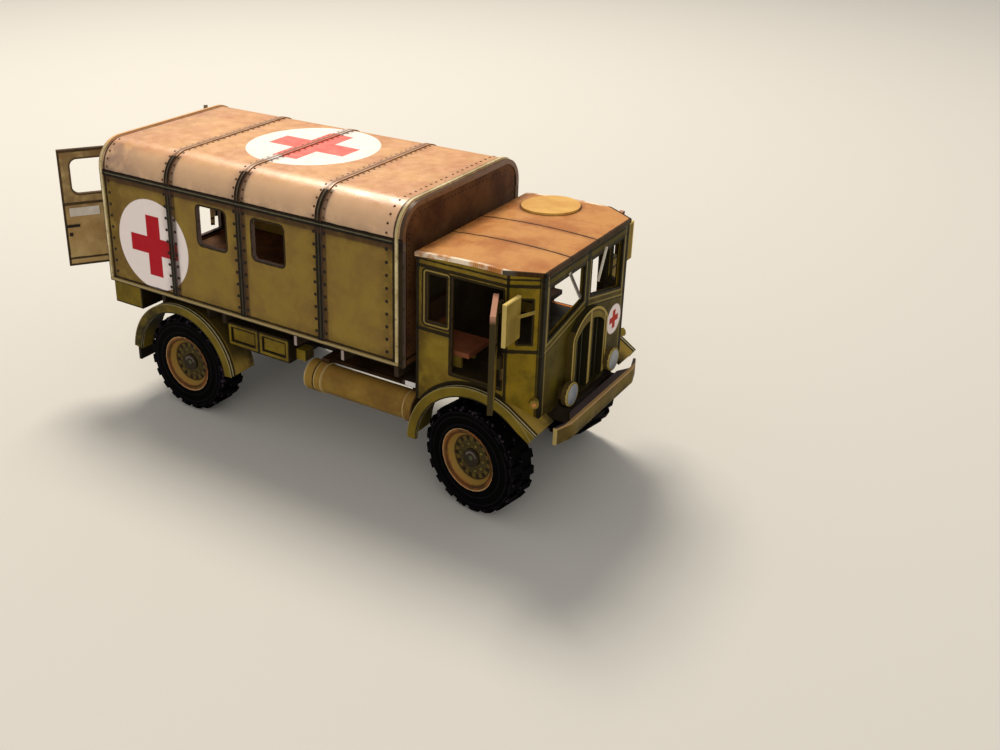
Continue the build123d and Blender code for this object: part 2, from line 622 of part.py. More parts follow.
# Wipers: bare strips across the screens; side lamps on the corner panels
wipers = []
for top, low in wiper_ends:
    run = Vector(*low) - Vector(*top)
    lean = degrees(asin(run.X / run.length))
    middle = (Vector(*top) + Vector(*low)) / 2
    strip_face = Pos(middle) * Rot(0, 0, lean) * Rectangle(wiper_width, run.length)
    wipers += cross_sheet(strip_face, cab_nose, wiper_card).solids()
pieces["wipers"] = Compound(wipers)
lamp_face = corner_panel * Pos(*side_lamp_place) * RegularPolygon(side_lamp_radius, side_lamp_sides)
pieces["side_lamps"] = pair(extrude(lamp_face, amount=side_lamp_length))

# Move everything so that the origin is the middle of the box's base
whole = Compound([solid for piece in pieces.values() for solid in piece.solids()])
box = whole.bounding_box()
shift = Pos(-box.center().X, -box.center().Y, -box.min.Z)
os.makedirs("parts", exist_ok=True)
for node, piece in pieces.items():
    solids = [solid.moved(shift) for solid in piece.solids()]
    print(node, len(solids))
    export_step(Compound(solids) if len(solids) > 1 else solids[0], f"parts/{node}.step")
print("origin moved by", shift.position)
print("box", box.size)
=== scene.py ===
import bpy
import math
from mathutils import Matrix, Vector


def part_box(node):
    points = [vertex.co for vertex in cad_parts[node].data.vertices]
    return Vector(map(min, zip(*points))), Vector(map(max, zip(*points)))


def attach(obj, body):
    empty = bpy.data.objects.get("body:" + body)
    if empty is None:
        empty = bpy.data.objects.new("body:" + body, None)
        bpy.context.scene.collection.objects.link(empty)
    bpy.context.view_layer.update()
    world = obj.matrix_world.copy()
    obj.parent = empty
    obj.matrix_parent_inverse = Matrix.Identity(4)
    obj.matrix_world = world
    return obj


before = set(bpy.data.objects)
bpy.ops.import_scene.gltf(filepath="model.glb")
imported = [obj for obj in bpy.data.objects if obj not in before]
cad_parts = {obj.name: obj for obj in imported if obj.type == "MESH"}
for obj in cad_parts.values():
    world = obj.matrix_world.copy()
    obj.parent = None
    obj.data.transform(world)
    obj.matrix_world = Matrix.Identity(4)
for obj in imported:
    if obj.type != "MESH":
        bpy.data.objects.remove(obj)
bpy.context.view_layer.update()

# Load body sides. Each is one sheet of printed card, cut with two windows, its three seams
# covered by glued strips. The print shows khaki paint, darker beside the seams, and a white
# disc with a red cross.
floor_corner = (-29.0, -10.4, 13.4)  # millimetres from mid-wheelbase, as all sizes on the card
row_origin = Vector(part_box("body_floor")[0]) * 1000 - Vector(floor_corner)
body_half, body_rear, body_front, body_low = 10.9, -29.5, 10.95, 13.4
seams, cantrail = (-19.15, -9.3, 1.05), 26.3
windows = ((-13.175, 1.975), (-5.525, 2.075))  # middle and half width along the body
window_z, window_half, window_corner = 22.875, 2.175, 0.5
side_disc, side_disc_radius = (-22.06, 19.14), 5.22
side_cross, side_cross_half, side_arm_half = (-21.9, 19.05), 3.5, 1.0
end_lines = ((body_rear + 0.82, 0.14), (9.9, 0.14), (10.7, 0.3), (body_rear + 0.1, 0.16))
low_lines = ((body_low + 0.62, 0.12), (body_low, 0.14))
khaki, khaki_dirt = (144, 119, 52), (131, 104, 52)
black, line_ink = (20, 16, 8), (24, 18, 10)
card_edge, cantrail_pale = (112, 94, 88), (96, 90, 66)
disc_white, cross_red, window_ink = (240, 228, 226), (176, 22, 36), (26, 18, 14)
rear_soot, eave_soot, low_soot, front_soot = (70, 48, 20), (64, 40, 24), (64, 48, 18), (64, 44, 22)
front_soot_x = 9.4
strip_half, strip_shadow_out = 0.36, 0.52  # of the glued strips over the seams
strip_ink, strip_pale, strip_brown, strip_soot = (20, 17, 12), (70, 64, 44), (62, 40, 30), (66, 44, 22)


def ink(red, green, blue):
    """A colour as it looks on screen, made linear for the shader."""
    return tuple(((c / 255 + 0.055) / 1.055) ** 2.4 if c > 10 else c / 255 / 12.92
                 for c in (red, green, blue)) + (1.0,)


class Sheet:
    """The print on one sheet of card, laid down colour by colour."""

    def __init__(self, name, paint, dirt, roughness=0.62, gloss=0.12):
        self.material = bpy.data.materials.new(name)
        self.material.use_nodes = True
        self.tree = self.material.node_tree
        self.shader = self.tree.nodes["Principled BSDF"]
        self.shader.inputs["Specular IOR Level"].default_value = gloss
        where = self.node("ShaderNodeTexCoord")
        place = self.node("ShaderNodeMapping", {"Vector": where.outputs["Object"]})
        place.inputs["Location"].default_value = -row_origin
        place.inputs["Scale"].default_value = (1000, 1000, 1000)
        self.place = place.outputs[0]
        self.x, self.y, self.z = self.node("ShaderNodeSeparateXYZ", {0: self.place}).outputs
        self.aside = self.maths("ABSOLUTE", self.y)
        self.facing = self.node("ShaderNodeSeparateXYZ", {0: where.outputs["Normal"]}).outputs
        self.part = None  # a mask that limits what is laid down next
        clouds = self.noise(0.28, 5, 0.6)
        self.colour = self.mix(self.spread(clouds, 0.36, 0.66), ink(*paint), ink(*dirt))
        dots = self.noise(11, 2, 0.8)
        self.shade(self.spread(dots, 0.3, 0.7), 0.86, 1.12)
        self.wobble = self.both(self.signed(self.noise(1.7, 2, 0.5), 0.5), 0.1)
        fibre = self.maths("ADD", dots, self.both(self.noise(1.3, 2, 0.5), 1.5))
        bump = self.node("ShaderNodeBump", {"Height": fibre, "Strength": 0.4, "Distance": 0.00002})
        self.tree.links.new(bump.outputs[0], self.shader.inputs["Normal"])
        rubbed = self.node("ShaderNodeMapRange", {"Value": self.noise(0.9, 4, 0.6), "From Min": 0.3,
                                                  "From Max": 0.7, "To Min": roughness - 0.09,
                                                  "To Max": roughness + 0.09})
        self.tree.links.new(rubbed.outputs[0], self.shader.inputs["Roughness"])

    def node(self, kind, inputs=None, **settings):
        made = self.tree.nodes.new(kind)
        for key, value in settings.items():
            setattr(made, key, value)
        for key, value in (inputs or {}).items():
            if isinstance(value, bpy.types.NodeSocket):
                self.tree.links.new(value, made.inputs[key])
            else:
                made.inputs[key].default_value = value
        return made

    def maths(self, operation, *values):
        return self.node("ShaderNodeMath", dict(enumerate(values)), operation=operation).outputs[0]

    def noise(self, scale, detail, roughness):
        return self.node("ShaderNodeTexNoise", {"Vector": self.place, "Scale": scale, "Detail": detail,
                                                "Roughness": roughness}).outputs[0]

    def spread(self, value, low, high):
        """0 below low, 1 above high, smooth between."""
        made = self.node("ShaderNodeMapRange", {"Value": value, "From Min": low, "From Max": high},
                         interpolation_type="SMOOTHSTEP")
        return made.outputs[0]

    def mix(self, share, under, over, blend="MIX"):
        made = self.node("ShaderNodeMix", {0: share, 6: under, 7: over}, data_type="RGBA", blend_type=blend)
        return made.outputs[2]

    def shade(self, amount, low, high):
        """Lightens or darkens the print between two factors."""
        made = self.node("ShaderNodeMapRange", {"Value": amount, "To Min": low, "To Max": high})
        grey = self.node("ShaderNodeCombineColor", {channel: made.outputs[0] for channel in range(3)})
        self.colour = self.mix(1.0, self.colour, grey.outputs[0], "MULTIPLY")

    def both(self, first, second):
        """1 where two masks are 1; the product of any two values."""
        return self.maths("MULTIPLY", first, second)

    def apart_from(self, mask):
        """1 where a mask is 0."""
        return self.maths("SUBTRACT", 1.0, mask)

    def within(self, distance, reach, soft=0.05):
        """1 where a distance is under a reach."""
        return self.apart_from(self.spread(distance, reach - soft, reach + soft))

    def signed(self, axis, middle):
        return self.maths("SUBTRACT", axis, middle)

    def off(self, axis, middle):
        """Distance from a line, to either side."""
        return self.maths("ABSOLUTE", self.signed(axis, middle))

    def length(self, a, b):
        """The long side of a right triangle."""
        return self.maths("SQRT", self.maths("ADD", self.both(a, a), self.both(b, b)))

    def far(self, across, up, middle):
        """Distance from a point in a face."""
        return self.length(self.signed(across, middle[0]), self.signed(up, middle[1]))

    def outside_box(self, across, up, middle, half, corner=0.0):
        """How far a point lies outside a rectangle's edge, negative within it."""
        a = self.signed(self.off(across, middle[0]), half[0] - corner)
        b = self.signed(self.off(up, middle[1]), half[1] - corner)
        outer = self.length(self.maths("MAXIMUM", a, 0.0), self.maths("MAXIMUM", b, 0.0))
        inner = self.maths("MINIMUM", self.maths("MAXIMUM", a, b), 0.0)
        return self.signed(self.maths("ADD", outer, inner), corner)

    def cross(self, across, up, middle, half_span, half_arm):
        """1 on a cross with four equal arms."""
        a, b = self.off(across, middle[0]), self.off(up, middle[1])
        return self.both(self.within(self.maths("MAXIMUM", a, b), half_span),
                         self.within(self.maths("MINIMUM", a, b), half_arm))

    def paint(self, colour, mask, strength=1.0):
        """Lays a colour where a mask is 1."""
        share = self.both(mask, strength)
        if self.part is not None:
            share = self.both(share, self.part)
        self.colour = self.mix(share, self.colour, ink(*colour))

    def line(self, distance, half, colour=line_ink, strength=0.92, soft=0.05):
        """A line of a half width, its edges a little unsteady: print on most sheets, a painted highlight on
        the bumper and mirrors.
        """
        self.paint(colour, self.within(self.maths("ADD", distance, self.wobble), half, soft), strength)

    def airbrush(self, distance, reach, colour, strength):
        """A soft tone that fades away from a line, in broken clouds: weathering on most sheets, painted
        shade on the fender strips and the tank.
        """
        broken = self.spread(self.noise(0.8, 4, 0.6), 0.25, 0.6)
        self.paint(colour, self.both(self.apart_from(self.spread(distance, 0.0, reach)), broken), strength)

    def looking(self, axis):
        """1 on faces that look along an axis, either way."""
        return self.spread(self.maths("ABSOLUTE", self.facing["XYZ".index(axis)]), 0.5, 0.7)

    def cut_edges(self, mask, colour, strength):
        """Bare card where the sheet was cut, worn in patches."""
        patchy = self.spread(self.noise(1.6, 3, 0.6), 0.25, 0.5)
        self.paint(colour, self.both(mask, patchy), strength)

    def print_on(self, *nodes):
        """Ends the print and gives it to pieces of the frame."""
        self.tree.links.new(self.colour, self.shader.inputs["Base Color"])
        for node in nodes:
            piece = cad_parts[node]
            if piece.material_slots:
                for held in piece.material_slots:
                    held.material = self.material
            else:
                piece.data.materials.append(self.material)


def seam_print(sheet, signed, pale=strip_pale):
    """A glued strip as printed: black with a pale line along it, and a brown shadow on one side."""
    gap = sheet.maths("ABSOLUTE", signed)
    sheet.airbrush(gap, 1.7, strip_soot, 0.5)
    sheet.paint(strip_brown, sheet.within(sheet.off(signed, strip_shadow_out), 0.38, 0.14), 0.7)
    sheet.line(gap, strip_half, strip_ink, 0.97)
    sheet.line(gap, 0.07, pale, 0.8, 0.035)


side = Sheet("khaki_side_print", khaki, khaki_dirt)
side.part = side.spread(side.aside, body_half - 0.35, body_half - 0.25)
side.airbrush(side.off(side.x, body_rear), 9.0, rear_soot, 0.55)
side.airbrush(side.off(side.z, cantrail), 1.8, eave_soot, 0.6)
side.airbrush(side.off(side.z, body_low), 2.0, low_soot, 0.5)
side.airbrush(side.off(side.x, front_soot_x), 1.6, front_soot, 0.45)
side.paint(disc_white, side.within(side.far(side.x, side.z, side_disc), side_disc_radius))
side.paint(cross_red, side.cross(side.x, side.z, side_cross, side_cross_half, side_arm_half))
for seam in seams:
    seam_print(side, side.signed(side.x, seam))
seam_print(side, side.signed(cantrail, side.z), cantrail_pale)
for edge, half in end_lines:
    side.line(side.off(side.x, edge), half)
for level, half in low_lines:
    side.line(side.off(side.z, level), half)
for middle, half in windows:
    frame_gap = side.outside_box(side.x, side.z, (middle, window_z), (half, window_half), window_corner)
    side.line(frame_gap, 0.22, window_ink)
side.part = None
side.cut_edges(side.apart_from(side.looking("Y")), card_edge, 0.9)
side.print_on("body_side_right", "body_side_left")

# Rivets. Printed as dots on the real sheets, they are tiny domes of dark ink here: one row
# each side of every seam, up the sides and over the roof, and one row inside each end.
shoulder_z, shoulder_radius = 26.7, 3.0
roof_top = shoulder_z + shoulder_radius
seam_to_rivet, rear_row, front_row = 0.62, -28.2, 9.1
rivet_rows = [x + hand * seam_to_rivet for x in seams for hand in (-1, 1)] + [rear_row, front_row]
side_rivet_low, side_rivets, side_pitch = 14.75, 9, 1.33
roof_rivet_start, roof_pitch = 0.7, 0.9
rivet_radius, rivet_height = 0.18, 0.035
rivet_brown, rivet_dark = (40, 28, 18), (22, 16, 10)


def at(x, y, z):
    """A place on the truck, in metres in the row's frame."""
    return (Vector((x, y, z)) + row_origin) / 1000


def alone(piece=None):
    """Only this piece is selected and active."""
    bpy.ops.object.select_all(action="DESELECT")
    if piece is not None:
        piece.select_set(True)
        bpy.context.view_layer.objects.active = piece


def pick(piece, test):
    """In edit mode, selects the faces whose middle and normal pass a test."""
    bpy.ops.object.mode_set(mode="OBJECT")
    mesh = piece.data
    for group in (mesh.polygons, mesh.edges, mesh.vertices):
        for item in group:
            item.select = False
    for face in mesh.polygons:
        if test(face.center, face.normal):
            face.select = True
            for index in face.vertices:
                mesh.vertices[index].select = True
    bpy.ops.object.mode_set(mode="EDIT")
    bpy.ops.mesh.select_mode(type="FACE")


def settle(piece, name, material, body):
    """Names a finished piece, puts its place in its mesh and sets it on its body."""
    alone(piece)
    bpy.ops.object.transform_apply(location=True, rotation=True, scale=True)
    piece.name = name
    piece.data.name = name
    piece.data.materials.clear()
    piece.data.materials.append(material)
    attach(piece, body)


def copies(pattern, places):
    """Copies of one small piece, each turned to its own direction, joined in one mesh."""
    made = []
    for place, direction in places:
        turn = Vector(direction).to_track_quat("Z", "Y").to_matrix().to_4x4()
        copy = pattern.copy()
        copy.data = pattern.data.copy()
        copy.data.transform(Matrix.Translation(place) @ turn)
        bpy.context.scene.collection.objects.link(copy)
        made.append(copy)
    bpy.data.objects.remove(pattern)
    alone(made[0])
    for copy in made:
        copy.select_set(True)
    bpy.ops.object.join()
    return bpy.context.view_layer.objects.active


def stud(radius, height, sides=8):
    """A domed head on the origin, looking along +Z."""
    alone()
    bpy.ops.mesh.primitive_cylinder_add(vertices=sides, radius=radius / 1000, depth=height / 1000,
                                        location=(0, 0, height / 2000))
    head = bpy.context.object
    bpy.ops.object.transform_apply(location=True)
    bpy.ops.object.mode_set(mode="EDIT")
    pick(head, lambda middle, normal: normal.z > 0.9)
    bpy.ops.mesh.inset(thickness=radius / 2200)
    bpy.ops.transform.translate(value=(0, 0, height / 2500))
    bpy.ops.object.mode_set(mode="OBJECT")
    return head


rivet_ink = Sheet("rivet_ink", rivet_brown, rivet_dark, 0.5, 0.2)
rivet_ink.print_on()
side_places, roof_places = [], []
upright = shoulder_z - cantrail  # the roof sheet's flat strip under its shoulder
arc = math.pi / 2 * shoulder_radius
for x in rivet_rows:
    for step in range(side_rivets):
        level = side_rivet_low + step * side_pitch
        side_places += [(at(x, hand * body_half, level), (0, hand, 0)) for hand in (-1, 1)]
    walk = roof_rivet_start
    while walk < arc + body_half - shoulder_radius:
        for hand in (-1, 1) if x != rear_row or walk < arc else ():
            if walk < arc + upright:
                angle = max(0.0, (walk - upright) / shoulder_radius)
                y = body_half - shoulder_radius * (1 - math.cos(angle))
                z = shoulder_z + shoulder_radius * math.sin(angle)
                direction = (0, hand * math.cos(angle), math.sin(angle))
            else:
                y = body_half - shoulder_radius - (walk - arc - upright)
                z, direction = roof_top, (0, 0, 1)
            roof_places.append((at(x, hand * y, z), direction))
        walk += roof_pitch
side_domes = copies(stud(rivet_radius, rivet_height), side_places)
settle(side_domes, "side_rivets", rivet_ink.material, "truck")

# Roof. One sheet bent over both shoulders, printed in the same khaki; under the lamp it looks
# tan, and that lamp-lit tan is painted in here as its colour. The seams cross it, and its own
# white disc and red cross lie across the middle seam.
roof_disc, roof_disc_radius = (-8.75, 0.95), 7.25
roof_cross, roof_cross_half, roof_arm_half = (-8.7, 0.95), 5.0, 1.6
roof_end_lines = ((body_rear + 0.82, 0.12), (9.95, 0.12), (10.78, 0.24))
roof_lamp_tan, roof_lamp_tan_mottle, shoulder_sheen_pale = (216, 156, 84), (201, 132, 66), (222, 187, 150)
roof_white, roof_red = (246, 240, 234), (255, 78, 60)
rear_haze, front_haze, shoulder_haze = (150, 96, 74), (150, 98, 60), (116, 76, 66)
fold_haze, fold_ink, roof_strip_pale = (138, 92, 56), (112, 76, 46), (96, 80, 58)
roof_end_ink, roof_cut_edge = (40, 26, 16), (120, 84, 56)
shoulder_sheen_top, varnish_ior = 29.2, 1.62
roof_rivet_radius, roof_rivet_height = 0.13, 0.03


def weave(sheet, across, up, pitch=0.17, depth=0.1):
    """The fine grid that a canvas-like print leaves on the sheet."""
    waves = [sheet.maths("SINE", sheet.both(axis, 2 * math.pi / pitch)) for axis in (across, up)]
    sheet.shade(sheet.maths("ADD", sheet.both(*waves), 0.5), 1 - depth, 1 + depth)


def matt_ink(sheet):
    """Printed black shines less than the sheet round it."""
    level = sheet.shader.inputs["Specular IOR Level"]
    grey = sheet.node("ShaderNodeRGBToBW", {0: sheet.colour}).outputs[0]
    sheen = sheet.node("ShaderNodeMapRange", {"Value": grey, "From Min": 0.02, "From Max": 0.25,
                                              "To Min": 0.05, "To Max": level.default_value})
    sheet.tree.links.new(sheen.outputs[0], level)


# The roof's tan is the khaki as the lamp lights it: painted light.
roof = Sheet("lamp_lit_tan_roof_print", roof_lamp_tan, roof_lamp_tan_mottle, 0.38, 1.0)
roof.shader.inputs["IOR"].default_value = varnish_ior
weave(roof, roof.x, roof.maths("ADD", roof.y, roof.z))
roof.airbrush(roof.off(roof.x, body_rear), 7.0, rear_haze, 0.45)
roof.airbrush(roof.off(roof.x, body_front), 4.0, front_haze, 0.4)
flat = roof.within(roof.off(roof.z, roof_top), 0.3)
roof.part = flat
roof.paint(roof_white, roof.within(roof.far(roof.x, roof.y, roof_disc), roof_disc_radius))
roof.paint(roof_red, roof.cross(roof.x, roof.y, roof_cross, roof_cross_half, roof_arm_half))
for seam in seams:
    gap = roof.off(roof.x, seam)
    roof.airbrush(gap, 1.6, fold_haze, 0.55)
    roof.line(gap, 0.17, fold_ink, 0.85)
roof.part = roof.apart_from(flat)
# Paler shoulders below their top: a painted sheen where the bend catches the lamp.
roof.paint(shoulder_sheen_pale, roof.within(roof.z, shoulder_sheen_top, 0.5), 0.6)
roof.airbrush(roof.off(roof.x, body_rear), 8.5, shoulder_haze, 0.6)
for seam in seams:
    seam_print(roof, roof.signed(roof.x, seam), roof_strip_pale)
seam_print(roof, roof.signed(cantrail, roof.z), cantrail_pale)
roof.part = None
for edge, half in roof_end_lines:
    roof.line(roof.off(roof.x, edge), half, roof_end_ink)
roof.cut_edges(roof.looking("X"), roof_cut_edge, 0.9)
matt_ink(roof)
roof.print_on("body_roof")
roof_ink = Sheet("roof_rivet_ink", (92, 60, 36), (70, 44, 26), 0.5, 0.2)
roof_ink.print_on()
roof_domes = copies(stud(roof_rivet_radius, roof_rivet_height, 6), roof_places)
settle(roof_domes, "roof_rivets", roof_ink.material, "truck")

# End walls and floor of the load body. Flat brown-khaki sheets glued inside the roof and
# sides, with a dark line and a close row of rivets round the front one. The front wall and the
# floor are a darker brown-khaki than the sides: painted shade.
wall_x, wall_inset = 10.85, 1.15
wall_rivet_low, wall_pitch = 15.2, 0.66
bend, straight = shoulder_radius - wall_inset, body_half - shoulder_radius
wall_rivet_radius, wall_rivet_height, first_turn = 0.085, 0.03, 0.1
wall_line_y, wall_line_z, rear_line_y = 10.25, 14.1, 10.1
rear_doorway, rear_doorway_half = (0, 21.4), (7.15, 6.95)
# Darker than the side khaki: painted shade on the front wall and floor.
wall = Sheet("shade_darkened_wall_print", (104, 68, 38), (74, 44, 24))
wall.line(wall.off(wall.aside, wall_line_y), 0.12)
wall.line(wall.off(wall.z, wall_line_z), 0.14)
wall.print_on("body_front_wall", "body_floor")
rear = Sheet("khaki_rear_print", khaki, khaki_dirt)
rear.line(rear.outside_box(rear.y, rear.z, rear_doorway, rear_doorway_half), 0.3)
rear.line(rear.off(rear.aside, rear_line_y), 0.12)
rear.cut_edges(rear.apart_from(rear.looking("X")), card_edge, 0.9)
rear.print_on("body_rear_frame")
wall_places = []
for hand in (-1, 1):
    outline = [(straight + bend, wall_rivet_low + step * wall_pitch)
               for step in range(int((shoulder_z - wall_rivet_low) / wall_pitch) + 1)]
    for step in range(int(math.pi / 2 * bend / wall_pitch) + 1):
        angle = first_turn + step * wall_pitch / bend
        outline.append((straight + bend * math.cos(angle), shoulder_z + bend * math.sin(angle)))
    outline += [((step + 0.5) * wall_pitch, shoulder_z + bend) for step in range(int(straight / wall_pitch))]
    wall_places += [(at(wall_x, hand * y, z), (1, 0, 0)) for y, z in outline]
wall_domes = copies(stud(wall_rivet_radius, wall_rivet_height, 6), wall_places)
settle(wall_domes, "front_wall_rivets", rivet_ink.material, "truck")

# Edge beading. Narrow cream strips of card glued round both ends of the body and along the
# bottom of its sides, with the ink of the cut line showing along them.
bead_low_top, bead_low_line = 14.0, 13.52
bead_rust, bead_low, bead_ink, bead_peach = (66, 50, 30), (158, 138, 92), (40, 30, 16), (220, 172, 116)
bead = Sheet("cream_bead_print", (222, 206, 160), (176, 156, 108), 0.4, 0.3)
bead.paint(bead_rust, bead.spread(bead.noise(2.2, 4, 0.7), 0.58, 0.66), 0.6)
bead.paint(bead_low, bead.within(bead.z, bead_low_top))
bead.line(bead.off(bead.z, bead_low_line), 0.08, bead_ink, 0.85)
rear_arch = bead.both(bead.spread(bead.z, 28.8, 29.5), bead.within(bead.x, -25.0))
bead.paint(bead_peach, rear_arch)
bead.print_on("body_beading")

# Rear doors. Two leaves with a rounded window, folded back on paper hinges. Each has a waist
# line, a blank white plate, a handle bar and a lock, all on its outer face.
leaf_hinge_x, leaf_hinge_y = -29.75, 7.15
leaves = (("right", -1, 144.0), ("left", 1, -137.0))  # and how far each is folded back
leaf_middle, leaf_half = (3.57, 21.4), (3.42, 6.7)
leaf_window, leaf_window_half, leaf_window_corner = (3.55, 25.1), (2.25, 2.0), 0.8
leaf_waist, leaf_low_line = 22.0, 15.5
leaf_paint, leaf_dirt = (184, 156, 106), (160, 128, 80)
leaf_pane_ink, leaf_soot = (44, 34, 22), (90, 66, 40)


def card_slip(low, high, bevel):
    """A slip of card between two corners in truck millimetres, its edges eased."""
    alone()
    size = Vector(high) - Vector(low)
    bpy.ops.mesh.primitive_cube_add(size=0.001, location=at(*(Vector(high) + Vector(low)) / 2))
    slip = bpy.context.object
    slip.scale = size
    bpy.ops.object.transform_apply(location=True, rotation=True, scale=True)
    bpy.ops.object.mode_set(mode="EDIT")
    bpy.ops.mesh.select_all(action="SELECT")
    bpy.ops.mesh.bevel(offset=bevel / 1000, segments=2, affect="EDGES")
    bpy.ops.object.mode_set(mode="OBJECT")
    return slip


def swing_about(place, angle):
    """A turn about the upright line through a place."""
    return Matrix.Translation(place) @ Matrix.Rotation(angle, 4, "Z") @ Matrix.Translation(-place)


plate_white = Sheet("blank_plate_print", (222, 214, 206), (196, 186, 172), 0.5)
plate_white.print_on()
leaf_fittings = (  # name, span from the hinge, height, how proud it stands, print, slot
    ("blank_plate", (3.1, 6.4), (20.5, 21.5), 0.05, plate_white, "pale_card"),
    ("leaf_handle", (5.45, 6.94), (19.25, 19.55), 0.2, rivet_ink, "dark_card"),
    ("leaf_lock", (6.3, 6.7), (18.2, 18.6), 0.12, rivet_ink, "dark_card"))
for side_name, hand, turned in leaves:
    hinge_y = hand * leaf_hinge_y
    leaf = Sheet(f"khaki_leaf_print_{side_name}", leaf_paint, leaf_dirt)
    along = leaf.far(leaf.x, leaf.y, (leaf_hinge_x, hinge_y))
    border = leaf.outside_box(along, leaf.z, leaf_middle, leaf_half)
    leaf.line(leaf.both(border, -1.0), 0.16)
    pane = leaf.outside_box(along, leaf.z, leaf_window, leaf_window_half, leaf_window_corner)
    leaf.line(pane, 0.2, leaf_pane_ink, 0.85)
    leaf.line(leaf.off(leaf.z, leaf_waist), 0.17)
    leaf.airbrush(leaf.signed(leaf_waist, leaf.z), 1.6, leaf_soot, 0.55)
    leaf.line(leaf.off(leaf.z, leaf_low_line), 0.13)
    leaf.print_on(f"rear_door_{side_name}")
    swing = swing_about(at(leaf_hinge_x, hinge_y, 0), math.radians(turned))
    for name, span, level, proud, sheet, slot in leaf_fittings:
        ends = sorted(hinge_y - hand * s for s in span)
        slip = card_slip((body_rear - proud, ends[0], level[0]), (body_rear + 0.02, ends[1], level[1]),
                         min(0.05, proud / 2.5))
        slip.data.transform(swing)
        settle(slip, f"{name}_{side_name}", sheet.material, f"rear_door_{side_name}")

# Cab sides and doors. The side sheets carry a window, the doorway and two lines under the
# roof. Both doors stand open, by unlike angles, with dark edges that turn peach at the top:
# bare card there, with a painted highlight from the lamp above.
cab_half, cab_rear, cab_corner = 10.52, 12.22, 21.81
cab_paint, cab_dirt = (134, 112, 34), (112, 88, 26)
pale_line, inner_shadow = (150, 130, 74), (40, 33, 14)
waist_z, drip_z = 18.1, 24.5
cab_window, cab_window_half = (14.475, 21.4), (1.075, 2.4)
doorway, doorway_half = (18.8, 19.1), (2.7, 4.9)
front_arch, front_arch_line = (19.0, 6.3), 7.5
cab_hinge_x, cab_hinge_y = 21.5, 10.77
door_middle, door_half = (2.7, 19.1), (2.5, 4.75)  # from the hinge
door_window, door_window_half = (2.65, 21.2), (1.85, 2.0)
sill_middle, sill_half, sill_lamp_orange = (18.6, 13.6), (2.6, 0.8), (214, 118, 34)
post_soot, cab_soot, cab_cut_edge = (46, 34, 10), (52, 38, 12), (96, 78, 52)
door_inner, door_peach_edge_and_highlight = (60, 50, 24), (182, 132, 108)


def drip_lines(sheet):
    """The dark lines along the waist and under the roof."""
    for level, half in ((waist_z, 0.2), (drip_z, 0.17), (drip_z + 0.62, 0.1)):
        sheet.line(sheet.off(sheet.z, level), half, black)


cab = Sheet("khaki_cab_print", cab_paint, cab_dirt)
cab.part = cab.spread(cab.aside, 10.2, 10.3)
cab.airbrush(cab.off(cab.x, cab_rear), 1.8, post_soot, 0.6)
cab.airbrush(cab.off(cab.z, 12.6), 2.8, cab_soot, 0.4)
cab.airbrush(cab.off(cab.z, waist_z), 0.9, cab_soot, 0.5)
pane = cab.outside_box(cab.x, cab.z, cab_window, cab_window_half)
cab.line(cab.off(pane, 0.48), 0.1, black)
cab.line(cab.off(pane, 0.3), 0.07, pale_line, 0.7, 0.03)
cab.line(pane, 0.22, black)
cab.line(cab.outside_box(cab.x, cab.z, doorway, doorway_half), 0.24, black)
drip_lines(cab)
cab.line(cab.off(cab.x, cab_rear + 0.12), 0.2, black)
cab.line(cab.off(cab.far(cab.x, cab.z, front_arch), front_arch_line), 0.2, black)
cab.part = None
cab.cut_edges(cab.apart_from(cab.looking("Y")), cab_cut_edge, 0.85)
cab.paint(inner_shadow, cab.within(cab.aside, 10.25), 0.93)
# Orange on the far doorway's sill: painted lamp light falling on it.
far_sill_light = cab.both(cab.within(cab.outside_box(cab.x, cab.z, sill_middle, sill_half), 0.0),
                    cab.within(cab.off(cab.y, 10.0), 0.32))
cab.paint(sill_lamp_orange, far_sill_light, 0.8)
cab.print_on("cab_side_right", "cab_side_left")
for side_name, hand, opened in (("right", -1, 117), ("left", 1, 88)):
    door = Sheet(f"khaki_cab_door_print_{side_name}", cab_paint, cab_dirt)
    along = door.far(door.x, door.y, (cab_hinge_x, hand * cab_hinge_y))
    turned = math.radians(opened)
    outer, edge = (door.maths("ADD", door.both(door.facing[0], ahead), door.both(door.facing[1], out))
                   for ahead, out in ((math.sin(turned), hand * math.cos(turned)),
                                      (-math.cos(turned), hand * math.sin(turned))))
    border = door.outside_box(along, door.z, door_middle, door_half)
    door.line(door.both(border, -1.0), 0.16, black)
    door.line(door.outside_box(along, door.z, door_window, door_window_half), 0.2, black)
    door.line(door.off(door.z, waist_z), 0.16, black)
    door.paint(door_inner, door.apart_from(door.spread(outer, 0.5, 0.7)), 0.93)
    door.part = door.maths("MAXIMUM", door.spread(edge, 0.5, 0.7), door.looking("Z"))
    # Peach at the top of the edges: bare card, with a painted highlight from the lamp above.
    door.paint(door_peach_edge_and_highlight, door.spread(door.z, 23.0, 23.7), 0.85)
    door.part = None
    door.print_on(f"cab_door_{side_name}")

# Cab front. One folded sheet: the flat nose with two windscreens and the two corner panels,
# each with a quarter window. The folds at the corners are inked black from top to bottom.
nose_half, nose_x = 8.84, 24.76
screen_y, screen_half, screen_top = 4.225, 3.475, 24.0
sill_slope, sill_z = -0.2158, 20.56  # the windscreens' lower edge, from the middle outwards
grille_half, grille_z, grille_radius = 3.4, 13.95, 4.6
quarter_window, quarter_window_half = (23.33, 21.05), (0.52, 2.15)
nose_disc, nose_disc_radius = (6.7, 15.7), 1.62
nose_cross_half, nose_arm_half = 1.0, 0.33
nose_white, nose_red, badge_line = (238, 224, 220), (178, 44, 30), (90, 60, 40)
nose_soot, grille_soot, post_ink, grille_ink = (30, 24, 10), (50, 38, 12), (34, 32, 14), (20, 24, 14)
corner_paint = (144, 118, 22)


